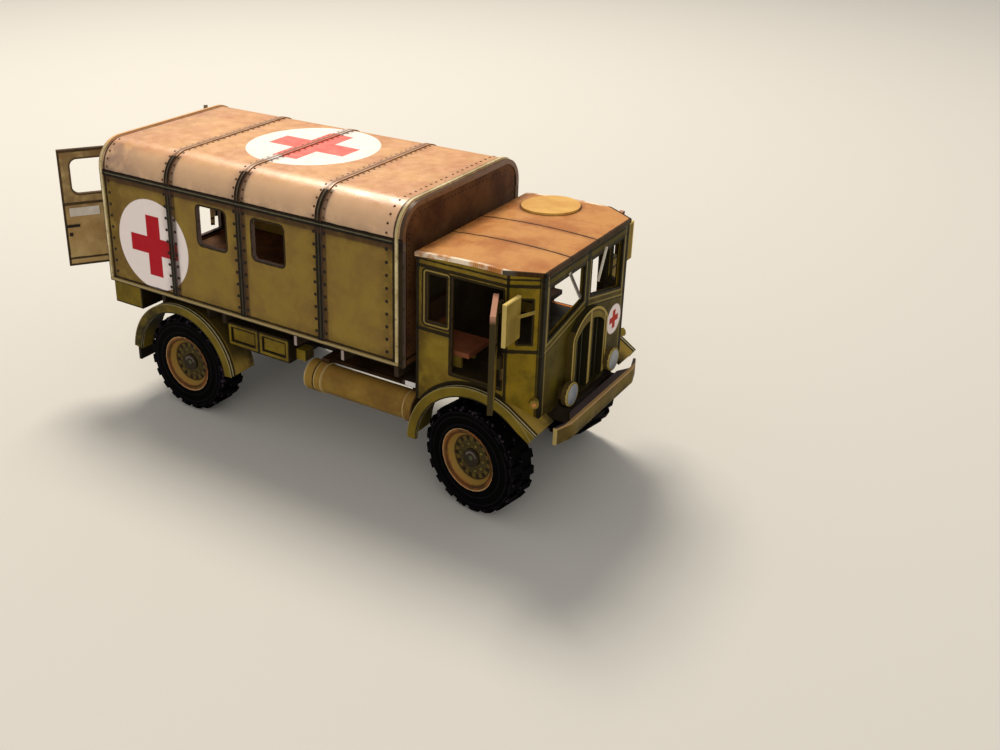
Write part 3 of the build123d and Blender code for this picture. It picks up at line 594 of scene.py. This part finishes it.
def outside_arch(sheet, half, middle_z, radius):
    """How far a point lies outside an arch on the nose's middle, negative within it."""
    return sheet.maths("MAXIMUM", sheet.signed(sheet.aside, half),
                       sheet.signed(sheet.far(sheet.y, sheet.z, (0.0, middle_z)), radius))


# The nose is darker than the cab sides and corner panels: painted shade on the front, which faces away from
# the lamp.
nose = Sheet("shade_darkened_nose_print", (88, 76, 10), (66, 55, 8))
on_front = nose.within(nose.off(nose.x, nose_x), 0.3, 0.1)
nose.part = on_front
nose.airbrush(nose.off(nose.z, 11.0), 3.5, nose_soot, 0.7)
nose.airbrush(nose.off(nose.aside, 4.0), 1.6, grille_soot, 0.5)
sill = nose.maths("ADD", nose.both(nose.aside, sill_slope), sill_z)
beyond = nose.signed(nose.off(nose.aside, screen_y), screen_half)
above_or_below = nose.maths("MAXIMUM", nose.signed(nose.z, screen_top), nose.signed(sill, nose.z))
screen = nose.maths("MAXIMUM", beyond, above_or_below)
nose.line(nose.off(screen, 0.36), 0.08, pale_line, 0.75, 0.03)
nose.line(screen, 0.22, black)
under_sill = nose.signed(sill, nose.z)
nose.line(nose.off(under_sill, 1.12), 0.08, black, 0.7)
nose.line(nose.off(under_sill, 0.95), 0.09, pale_line, 0.7, 0.04)
nose.line(nose.aside, 0.36, post_ink, 0.9)
for level, half in ((24.35, 0.1), (25.05, 0.14)):
    nose.line(nose.off(nose.z, level), half, black)
nose.line(nose.off(nose.aside, nose_half), 0.5, black)
nose.line(nose.off(nose.aside, nose_half - 0.68), 0.07, pale_line, 0.6, 0.03)
badge = nose.far(nose.y, nose.z, nose_disc)
nose.paint(nose_white, nose.within(badge, nose_disc_radius))
nose.line(nose.off(badge, nose_disc_radius), 0.06, badge_line, 0.6)
nose.paint(nose_red, nose.cross(nose.y, nose.z, nose_disc, nose_cross_half, nose_arm_half))
nose.paint(grille_ink, nose.within(outside_arch(nose, grille_half, grille_z, grille_radius), 0.0, 0.1))
nose.part = nose.apart_from(on_front)
nose.paint(corner_paint, nose.spread(nose.noise(0.4, 4, 0.6), 0.2, 0.6), 0.8)
nose.line(nose.outside_box(nose.x, nose.z, quarter_window, quarter_window_half), 0.2, black)
drip_lines(nose)
nose.line(nose.off(nose.x, cab_corner + 0.08), 0.16, black)
nose.line(nose.off(nose.x, nose_x), 0.42, black)
nose.part = None
nose.paint(inner_shadow, nose.spread(nose.both(nose.facing[0], -1.0), 0.2, 0.3), 0.93)
nose.print_on("cab_front")
inside = Sheet("khaki_inner_print", (50, 40, 18), (34, 27, 12))
inside.print_on("cab_rear_wall", "cab_floor")

# Cab roof. A sheet curved from front to rear with two dark seams along it, black along its
# folded front edge, and a paler round hatch disc glued on its left half.
hatch_place, hatch_radius = (16.7, 7.3), 3.0
cab_seams, corner_slope = (-4.0, 1.5), 1.756
edge_highlight_white, seam_brown, cab_seam_ink = (250, 236, 214), (120, 72, 40), (40, 24, 14)
rear_brown, hatch_brown, hatch_line = (96, 56, 30), (120, 74, 40), (80, 50, 28)
# Tan like the body roof: the khaki as the lamp lights it, painted in.
cab_roof = Sheet("lamp_lit_tan_cab_roof_print", (199, 139, 72), (175, 109, 50), 0.45, 0.3)
weave(cab_roof, cab_roof.x, cab_roof.y, 0.2, 0.2)
side_gap = cab_roof.off(cab_roof.aside, cab_half + 0.1)
# Pale broken bands along both side edges: a painted highlight where the rolled edges catch the lamp.
worn = cab_roof.spread(cab_roof.noise(0.5, 3, 0.6), 0.35, 0.55)
cab_roof.paint(edge_highlight_white, cab_roof.both(cab_roof.within(side_gap, 0.35, 0.12), worn), 0.85)
for seam_y in cab_seams:
    gap = cab_roof.off(cab_roof.y, seam_y)
    cab_roof.airbrush(gap, 1.0, seam_brown, 0.45)
    cab_roof.line(gap, 0.13, cab_seam_ink)
cab_roof.line(cab_roof.off(cab_roof.x, nose_x + 0.12), 0.24, black)
taper = cab_roof.both(cab_roof.signed(cab_roof.aside, nose_half), corner_slope)
cab_roof.line(cab_roof.off(cab_roof.maths("ADD", cab_roof.x, taper), nose_x + 0.2), 0.4, black)
cab_roof.airbrush(cab_roof.off(cab_roof.x, cab_rear), 1.8, rear_brown, 0.6)
rim = cab_roof.off(cab_roof.far(cab_roof.x, cab_roof.y, hatch_place), hatch_radius + 0.05)
cab_roof.airbrush(rim, 0.7, hatch_brown, 0.5)
cab_roof.line(rim, 0.13, hatch_line, 0.85)
matt_ink(cab_roof)
cab_roof.print_on("cab_roof")
# Lamp-lit tan like the cab roof, painted in, and paler than it.
hatch = Sheet("lamp_lit_pale_hatch_print", (222, 176, 90), (206, 152, 70), 0.45, 0.3)
weave(hatch, hatch.x, hatch.y, 0.17, 0.12)
hatch.print_on("roof_hatch")

# Fenders. A bent strip with a flat lip glued to its outer edge. Black and pale lines are
# printed along both edges of the lip, and the rear pair darken towards their tails.
arches = {"front": ((19.0, 6.3), 7.35), "rear": ((-18.9, 5.35), 7.45)}  # middle and radius
edge_pale, slope_pale = (196, 184, 140), (176, 146, 66)
tail_darkening, tail_foot_dark = (34, 30, 10), (26, 20, 12)
strip_body_shadow, top_shadow_dark = (36, 28, 10), (28, 22, 10)
lip_line_y, tail_x, tail_end_x, tail_top = 10.8, -25.5, -25.0, 5.4
for end, (middle, radius) in arches.items():
    fender = Sheet(f"khaki_fender_print_{end}", (118, 100, 26), (96, 80, 20))
    out = fender.far(fender.x, fender.z, middle)
    lip = fender.both(fender.spread(fender.aside, 10.75, 10.85), fender.looking("Y"))
    fender.part = lip
    # The rear lips darken towards the tails.
    if end == "rear":
        fender.airbrush(fender.signed(fender.x, tail_x), 11.0, tail_darkening, 0.9)
    fender.line(fender.off(out, radius - 1.02), 0.1, black)
    fender.line(fender.off(out, radius - 0.04), 0.05, edge_pale, 0.25, 0.03)
    fender.part = fender.apart_from(lip)
    fender.paint(slope_pale, fender.spread(fender.x, middle[0] + 1.0, middle[0] + 4.5), 0.6)
    # Near black on the inner part of the strip: painted shadow of the body.
    fender.airbrush(fender.off(fender.aside, 7.4), 2.6, strip_body_shadow, 0.9)
    # Near black over the top of the rear strip: painted shadow of the body.
    if end == "rear":
        top = fender.both(fender.spread(fender.z, 6.6, 8.6), fender.within(fender.aside, 10.4, 0.2))
        fender.paint(top_shadow_dark, top, 0.85)
    fender.line(fender.off(fender.aside, lip_line_y), 0.34, black)
    fender.line(fender.off(fender.aside, lip_line_y + 0.04), 0.08, edge_pale, 0.8, 0.03)
    fender.line(fender.off(fender.aside, lip_line_y + 0.37), 0.04, edge_pale, 0.7, 0.02)
    # The low end of each rear tail is painted near black.
    if end == "rear":
        fender.part = fender.within(fender.z, tail_top)
        fender.paint(tail_foot_dark, fender.within(fender.x, tail_end_x))
    fender.print_on(f"{end}_fender_right", f"{end}_fender_left")

# Lockers, rear step and fuel tank, hung under the body. The lockers have two recessed panels
# a side, lined in black; the tank is a rolled tube with a cap at each end and a strip.
locker_posts, locker_low, locker_high = (-12.65, -8.3, -4.1), 9.4, 12.1
panel_margin, panel_z, panel_half = 0.57, 10.75, 0.78
band_pale, band_dark = (190, 168, 118), (46, 32, 16)
tank_lines = ((-2.1, band_pale), (-1.0, band_dark), (-0.9, band_pale), (0.0, band_pale),
              (10.3, band_pale), (11.35, band_dark))
tank_top_highlight, tank_under_shade, locker_end_shade = (172, 130, 62), (60, 44, 20), (30, 24, 12)
tank_low, tank_highlight_band = 6.5, (8.9, 9.9)
step_lines, step_front = ((10.6, 0.16), (13.4, 0.3)), -25.2
locker = Sheet("khaki_locker_print", (128, 108, 30), (100, 80, 22))
for rear_post, front_post in zip(locker_posts, locker_posts[1:]):
    middle, half = (rear_post + front_post) / 2, (front_post - rear_post) / 2 - panel_margin
    panel = locker.outside_box(locker.x, locker.z, (middle, panel_z), (half, panel_half))
    locker.line(locker.maths("ABSOLUTE", panel), 0.13, black)
for post in locker_posts:
    locker.line(locker.off(locker.x, post), 0.17, black)
for level, half in ((locker_low, 0.16), (locker_high, 0.22)):
    locker.line(locker.off(locker.z, level), half, black)
# Dark end faces: painted shade under the body.
locker.paint(locker_end_shade, locker.looking("X"), 0.8)
locker.print_on("lockers")
step_box = Sheet("khaki_step_print", (116, 97, 18), (92, 75, 14))
for level, half in step_lines:
    step_box.line(step_box.off(step_box.z, level), half, black)
step_box.line(step_box.off(step_box.x, step_front), 0.2, black)
step_box.print_on("rear_step")
tank = Sheet("tan_tank_print", (146, 116, 48), (118, 86, 36), 0.55, 0.15)
# Lighter along the top, darker underneath: painted highlight and painted shade.
tank.paint(tank_top_highlight, tank.spread(tank.z, *tank_highlight_band), 0.5)
tank.airbrush(tank.signed(tank.z, tank_low), 1.4, tank_under_shade, 0.7)
for edge, colour in tank_lines:
    tank.line(tank.off(tank.x, edge), 0.09, colour, 0.8)
tank.print_on("fuel_tank")
tray = Sheet("brown_tray_print", (70, 48, 28), (44, 30, 18))
tray.print_on("tank_arms")

# Radiator surround, lamps, bumper and mirrors. Folded khaki card with pale cut edges; the
# slots are black, and the lamp discs pale blue-grey in a khaki ring.
surround_half, surround_z, surround_radius = 3.75, 14.884, 4.516
middle_bar_y, side_bar_y, foot_z, slot_depth_x = -0.05, 3.12, 11.15, 25.2
rim_pale, bar_pale, side_bar_pale = (178, 154, 78), (170, 146, 84), (160, 138, 74)
slot_green, surround_side_shade, slot_side = (30, 34, 18), (62, 50, 20), (24, 24, 12)
bumper_low, bumper_top, bumper_end_y, shelf_x = 9.1, 10.85, 8.87, 26.95
bumper_low_dark, bumper_top_highlight = (40, 32, 12), (178, 142, 94)
bumper_end_pale, shelf_shade_blue = (184, 164, 104), (42, 40, 54)
mirror_edge, mirror_edge_highlight = (196, 176, 104), (214, 188, 112)
mirror_out_y, mirror_top = 13.3, 24.0
surround = Sheet("khaki_surround_print", (120, 102, 34), (94, 76, 24))
rim_gap = outside_arch(surround, surround_half, surround_z, surround_radius)
front = surround.spread(surround.facing[0], 0.6, 0.8)
surround.part = front
surround.line(surround.off(rim_gap, -0.38), 0.07, black, 0.7)
surround.line(surround.maths("ABSOLUTE", rim_gap), 0.24, rim_pale, 0.8)
surround.line(surround.off(surround.y, middle_bar_y), 0.16, bar_pale, 0.75)
surround.line(surround.off(surround.y, side_bar_y), 0.15, side_bar_pale, 0.7)
surround.line(surround.off(surround.z, foot_z), 0.3, black, 0.9)
surround.paint(slot_green, surround.within(surround.x, slot_depth_x), 0.9)
surround.part = surround.apart_from(front)
# Dark side walls: painted shade.
surround.paint(surround_side_shade, surround.looking("Y"), 0.85)
surround.paint(slot_side, surround.within(surround.aside, 3.2), 0.9)
surround.print_on("radiator_surround")
fittings = Sheet("khaki_fitting_print", (140, 118, 46), (110, 90, 32))
fittings.print_on("side_lamps")
shell = Sheet("khaki_lamp_print", (86, 70, 32), (62, 48, 22))
shell.print_on("headlamps")
bumper = Sheet("khaki_bumper_print", (110, 92, 34), (84, 68, 24))
# Darker towards the bottom edge.
bumper.airbrush(bumper.off(bumper.z, bumper_low), 1.1, bumper_low_dark, 0.7)
# Pale along the top edge: a painted highlight where the lamp catches it.
bumper.line(bumper.off(bumper.z, bumper_top), 0.22, bumper_top_highlight, 0.8)
bumper.line(bumper.off(bumper.aside, bumper_end_y), 0.16, bumper_end_pale, 0.8)
# Dark bluish on the bumper's upper faces: painted shade.
shaded_shelf = bumper.both(bumper.spread(bumper.facing[2], 0.6, 0.8), bumper.within(bumper.x, shelf_x))
bumper.paint(shelf_shade_blue, shaded_shelf, 0.9)
bumper.print_on("front_bumper")
mirror = Sheet("khaki_mirror_print", (150, 128, 54), (126, 104, 40))
mirror.cut_edges(mirror.apart_from(mirror.looking("X")), mirror_edge, 0.9)
# Pale lines along the outer and top edges: a painted highlight.
for edge in (mirror.off(mirror.aside, mirror_out_y), mirror.off(mirror.z, mirror_top)):
    mirror.line(edge, 0.16, mirror_edge_highlight, 0.85)
mirror.print_on("mirrors")
lens = Sheet("lamp_lens_print", (146, 150, 152), (96, 106, 124), 0.3, 0.4)
lens.print_on("headlamp_lenses")

# Wipers and bearers, in bare card. The near wiper is dark on its faces. The bearers are
# painted dark as shade under the body, but for two ends cut pale, and the front one ends in a
# white stub.
bearer_ends, stub_rear, stub_front = (-3.0, 3.1), 10.55, 12.5
wiper_dark, bearer_pale, stub_white = (40, 34, 32), (176, 160, 156), (226, 222, 222)
bare = Sheet("bare_card", (214, 206, 190), (176, 166, 148), 0.5)
bare.paint(wiper_dark, bare.both(bare.within(bare.y, -0.5), bare.looking("X")), 0.88)
bare.print_on("wipers")
# Dark all over but the cut ends: painted shade under the body.
bearer = Sheet("shade_darkened_bearer_card", (58, 46, 34), (36, 28, 20))
ends = bearer.both(bearer.looking("Y"), bearer.spread(bearer.aside, 9.6, 9.7))
for bearer_x in bearer_ends:
    cut_end = bearer.both(ends, bearer.within(bearer.off(bearer.x, bearer_x), 0.16))
    bearer.paint(bearer_pale, cut_end, 0.9)
past_rear = bearer.spread(bearer.x, stub_rear - 0.05, stub_rear + 0.05)
stub = bearer.both(past_rear, bearer.within(bearer.x, stub_front))
bearer.paint(stub_white, bearer.both(stub, bearer.looking("Y")), 0.9)
bearer.print_on("bearers")

# Lamp rings and side lamp tips. A ring of card stands round each headlamp disc, and each
# side lamp ends in a dab of orange.
lamp_x, lamp_y, lamp_z = 25.82, 4.55, 12.35
ring_radius, ring_height = 0.0012, 0.0002  # metres
tip_z, tip_along, tip_proud = 13.1, 2.9, 0.69  # on a corner panel, from its rear edge
tip_radius, tip_height = 0.22, 0.1
panel_way, panel_out = Vector((0.869, 0.495, 0)), Vector((0.495, -0.869, 0))
alone()
bpy.ops.mesh.primitive_cylinder_add(vertices=28, radius=ring_radius, depth=ring_height,
                                    location=(0, 0, ring_height / 2))
ring = bpy.context.object
bpy.ops.object.transform_apply(location=True)
bpy.ops.object.mode_set(mode="EDIT")
pick(ring, lambda middle, normal: normal.z > 0.9)
bpy.ops.mesh.inset(thickness=0.00004)
bpy.ops.transform.translate(value=(0, 0, 0.00003))
bpy.ops.mesh.inset(thickness=0.00010)
bpy.ops.mesh.extrude_region_move(TRANSFORM_OT_translate={"value": (0, 0, -0.00012)})
bpy.ops.object.mode_set(mode="OBJECT")
rings = copies(ring, [(at(lamp_x, hand * lamp_y, lamp_z), (1, 0, 0)) for hand in (-1, 1)])
settle(rings, "headlamp_rings", mirror.material, "truck")
orange = Sheet("orange_lamp_print", (190, 124, 62), (150, 92, 44), 0.4, 0.4)
orange.print_on()
tip = Vector((cab_corner, -cab_half, tip_z)) + panel_way * tip_along + panel_out * tip_proud
tips = [(at(tip.x, -hand * tip.y, tip.z), (panel_out.x, -hand * panel_out.y, 0)) for hand in (-1, 1)]
tip_domes = copies(stud(tip_radius, tip_height), tips)
settle(tip_domes, "side_lamp_tips", orange.material, "truck")

# Seats, chassis, springs and axles. Red-brown cushions on khaki brackets, with painted shade
# at the back and on the far side; the frame and what it carries are printed nearly black.
seat_back_shade, far_seat_shade = (38, 28, 14), (40, 30, 16)
seat = Sheet("red_seat_print", (142, 86, 56), (112, 62, 40))
# Painted shade on the backs' tops and on the far seat.
seat.paint(seat_back_shade, seat.spread(seat.z, 17.8, 18.4), 0.9)
seat.paint(far_seat_shade, seat.spread(seat.y, -0.1, 0.1), 0.85)
seat.print_on("seats")
fittings.print_on("seat_brackets")
dark = Sheet("dark_frame_print", (46, 36, 26), (26, 20, 15))
dark.print_on("chassis_frame", "front_springs", "rear_springs", "front_axle", "rear_axle")

# Wheels. Toothed rings of black card for the tyre round a laminated disc. The print on the
# disc has a tan ring, a ring of slots and a dark hub; the ten nuts are little domes. The
# front wheels stand a little turned to the right.
axle_x, wheel_y, wheel_z, nuts_out = 18.6, 9.19, 5.63, 0.75
front_turn = math.radians(-10)
nut_ring, nut_count, slot_count = 1.42, 10, 14
tyre_ridges, tread_radius = (3.75, 4.55, 5.0), 5.2
ridge_grey, fleck_dust_and_sheen = (30, 26, 32), (116, 98, 120)
rim_rust, slot_face, slot_ink = (150, 84, 38), (92, 78, 34), (34, 28, 18)
nut_shadow, hub_dark, hub_light, hub_green = (62, 52, 30), (42, 36, 28), (132, 120, 116), (84, 92, 62)
slot_face_radius, slot_ring, slot_half, hub_radius, gleam_ring, cap_radius = 2.2, 1.98, 0.22, 0.98, 0.6, 0.24
nut_radius, nut_height = 0.15, 0.14
disc_rings = (  # radius, half width, colour, strength, softness
    (3.24, 0.1, (190, 150, 104), 0.85, 0.03), (2.85, 0.07, (60, 42, 26), 0.8, 0.05),
    (2.5, 0.2, (156, 124, 58), 0.75, 0.05), (2.26, 0.07, (46, 34, 20), 0.9, 0.05))
tyre = Sheet("black_tyre_print", (4, 5, 4), (7, 6, 7), 0.7, 0.02)
flecks = tyre.both(tyre.spread(tyre.noise(2.6, 4, 0.7), 0.52, 0.6), tyre.looking("Y"))
out = tyre.maths("MINIMUM", *(tyre.far(tyre.x, tyre.z, (x, wheel_z)) for x in (axle_x, -axle_x)))
# Grey flecks near the tread: dusty worn lug edges, with a painted sheen.
tyre.paint(fleck_dust_and_sheen, tyre.both(flecks, tyre.spread(out, tread_radius - 0.1, tread_radius + 0.1)), 0.25)
for ridge in tyre_ridges:
    tyre.line(tyre.off(out, ridge), 0.06, ridge_grey, 0.6, 0.04)
tyre.print_on(*(f"tyre_{end}_{side_name}" for end in ("front", "rear") for side_name in ("right", "left")))
nut_print = Sheet("wheel_nut_print", (116, 106, 50), (80, 70, 30), 0.5, 0.2)
nut_print.print_on()
for end, x, turned in (("front", axle_x, front_turn), ("rear", -axle_x, 0.0)):
    for side_name, hand in (("right", -1), ("left", 1)):
        disc = Sheet(f"rim_print_{end}_{side_name}", (104, 76, 34), (78, 54, 24))
        across = disc.maths("ADD", disc.both(disc.signed(disc.x, x), math.cos(turned)),
                            disc.both(disc.signed(disc.y, hand * wheel_y), math.sin(turned)))
        up = disc.signed(disc.z, wheel_z)
        out = disc.length(across, up)
        rusty = disc.both(disc.spread(disc.noise(0.7, 4, 0.6), 0.4, 0.55), disc.spread(out, 2.4, 2.6))
        disc.paint(rim_rust, rusty, 0.5)
        for radius, half, colour, strength, soft in disc_rings:
            disc.line(disc.off(out, radius), half, colour, strength, soft)
        disc.paint(slot_face, disc.within(out, slot_face_radius), 0.8)
        around = disc.both(disc.maths("ARCTAN2", up, across), slot_count)
        fins = disc.spread(disc.maths("SINE", around), -0.3, 0.3)
        disc.paint(slot_ink, disc.both(fins, disc.within(disc.off(out, slot_ring), slot_half)), 0.95)
        disc.line(disc.off(out, nut_ring), 0.34, nut_shadow, 0.8)
        disc.line(out, hub_radius, hub_dark, 0.95)
        hub_gleam = disc.both(disc.within(disc.off(out, gleam_ring), 0.1, 0.04), disc.spread(up, 0.0, 0.3))
        disc.paint(hub_light, hub_gleam, 0.5)
        disc.paint(hub_green, disc.within(out, cap_radius), 0.8)
        disc.print_on(f"rim_{end}_{side_name}")
        places = []
        for count in range(nut_count):
            angle = 2 * math.pi * count / nut_count
            nut_x, nut_z = x + nut_ring * math.cos(angle), wheel_z + nut_ring * math.sin(angle)
            places.append((at(nut_x, hand * (wheel_y + nuts_out), nut_z), (0, hand, 0)))
        nuts = copies(stud(nut_radius, nut_height, 6), places)
        nuts.data.transform(swing_about(at(x, hand * wheel_y, wheel_z), turned))
        corner = f"{end}_{side_name}"
        settle(nuts, f"wheel_nuts_{corner}", nut_print.material, f"wheel_{corner}")

# Setting. A plain pale floor, one soft lamp above the truck's rear left as in the photograph,
# a weak one by the camera, and an even pale sky.
truck_middle = Vector((0, 0, 0.014))
floor_size = 6
alone()
bpy.ops.mesh.primitive_plane_add(size=floor_size, location=(0, 0, 0))
floor = bpy.context.object
floor.name = "floor"
floor_finish = bpy.data.materials.new("pale_floor")
floor_finish.use_nodes = True
floor_shader = floor_finish.node_tree.nodes["Principled BSDF"]
floor_shader.inputs["Base Color"].default_value = (0.62, 0.61, 0.58, 1)
floor_shader.inputs["Roughness"].default_value = 0.9
floor.data.materials.append(floor_finish)

world = bpy.data.worlds.new("pale_sky")
bpy.context.scene.world = world
world.use_nodes = True
sky = world.node_tree.nodes["Background"]
sky.inputs["Color"].default_value = (1.0, 0.97, 0.93, 1)
sky.inputs["Strength"].default_value = 0.45

for name, direction, distance, size, level, colour in (
        ("key_lamp", (-0.47, 0.42, 1.0), 0.4, 0.16, 1.0, (1.0, 0.9, 0.76)),
        ("camera_fill", (0.5, -0.9, 0.5), 0.6, 0.5, 0.2, (1.0, 0.95, 0.86))):
    lamp = bpy.data.lights.new(name, "AREA")
    lamp.shape = "DISK"
    lamp.size = size
    lamp.color = colour
    lamp.energy = level * math.pi ** 2 * distance ** 2
    holder = bpy.data.objects.new(name, lamp)
    toward = Vector(direction).normalized()
    holder.location = truck_middle + toward * distance
    holder.rotation_euler = toward.to_track_quat("Z", "Y").to_euler()
    bpy.context.scene.collection.objects.link(holder)

# Camera. Its place, lens and small shift were fitted to the truck's corners in the photograph.
view = bpy.data.cameras.new("photo_camera")
view.lens = 41.9006
view.sensor_width = 36
view.shift_x = 0.0929
view.shift_y = -0.0594
view.clip_start = 0.001
camera = bpy.data.objects.new("photo_camera", view)
camera.location = at(67.799, -93.902, 63.995)
camera.rotation_euler = [math.radians(angle) for angle in (65.9318, -0.0629, 34.2022)]
bpy.context.scene.collection.objects.link(camera)
bpy.context.scene.camera = camera
bpy.context.scene.view_settings.view_transform = "Standard"
